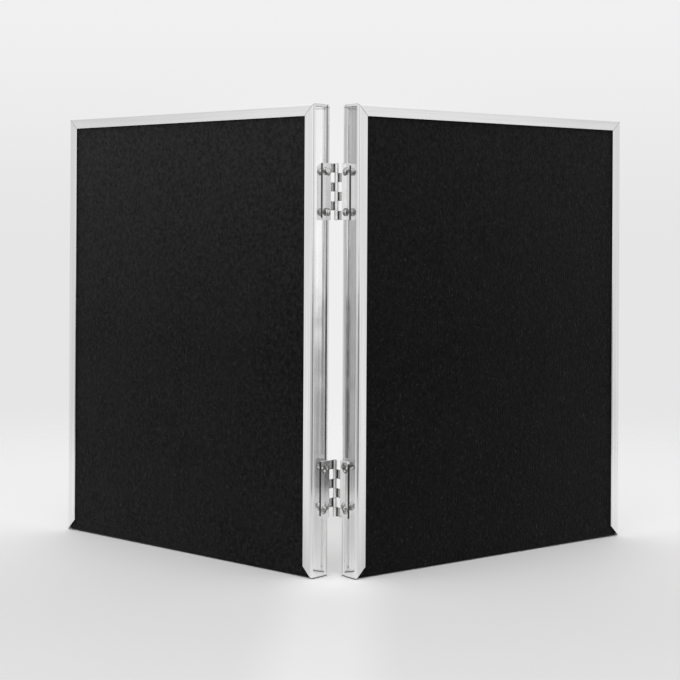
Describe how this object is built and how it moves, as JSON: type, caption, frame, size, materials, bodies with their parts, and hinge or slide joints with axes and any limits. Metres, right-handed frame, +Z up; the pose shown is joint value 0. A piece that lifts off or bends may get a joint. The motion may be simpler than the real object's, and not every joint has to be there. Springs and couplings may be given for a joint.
{
  "type": "hinged double photo frame",
  "caption": "Two polished metal photo frames joined by hinges along one edge, with glass fronts and velvet back boards that slide out, standing open like a book",
  "frame": {"origin": "under the middle of the standing frame, on the table", "axes": "+Z up, +X to the right and +Y away, seen from behind the spine; the two frames lie evenly to the left and right of the hinge pins"},
  "size_m": [0.3436, 0.1418, 0.2584],
  "materials": {
    "silver_plate": "polished silver plate",
    "hinge_nickel": "bright nickel",
    "hinge_pin": "drawn wire",
    "key_steel": "stamped, zinc plated",
    "glass": "clear float glass",
    "photo_paper": "blank photo card",
    "filler_card": "plain card",
    "hardboard": "pressed fibre board",
    "velvet": "short black pile"
  },
  "bodies": {
    "left_frame": {"left_top_rail": "silver_plate", "left_bottom_rail": "silver_plate", "left_spine_rail": "silver_plate", "left_outer_rail": "silver_plate", "left_corner_keys": "key_steel", "left_glass": "glass", "left_photo_card": "photo_paper", "left_filler_card": "filler_card", "left_hinge_rivets": "hinge_nickel", "lower_hinge_left_leaf": "hinge_nickel", "upper_hinge_left_leaf": "hinge_nickel", "lower_hinge_pin": "hinge_pin", "upper_hinge_pin": "hinge_pin"},
    "right_frame": {"right_top_rail": "silver_plate", "right_bottom_rail": "silver_plate", "right_spine_rail": "silver_plate", "right_outer_rail": "silver_plate", "right_corner_keys": "key_steel", "right_glass": "glass", "right_photo_card": "photo_paper", "right_filler_card": "filler_card", "right_hinge_rivets": "hinge_nickel", "lower_hinge_right_leaf": "hinge_nickel", "upper_hinge_right_leaf": "hinge_nickel"},
    "left_back": {"left_back_board": "hardboard", "left_velvet_cover": "velvet"},
    "right_back": {"right_back_board": "hardboard", "right_velvet_cover": "velvet"}
  },
  "joints": [
    {"name": "fold", "type": "hinge", "parent": "left_frame", "child": "right_frame", "pos_m": [0, -0.05864, 0], "axis": [0, 0, 1], "range_deg": [-79, 101]},
    {"name": "left_back_slide", "type": "slide", "parent": "left_frame", "child": "left_back", "axis": [0, 0, -1], "range_m": [0, 0.258]},
    {"name": "right_back_slide", "type": "slide", "parent": "right_frame", "child": "right_back", "axis": [0, 0, -1], "range_m": [0, 0.258]}
  ]
}
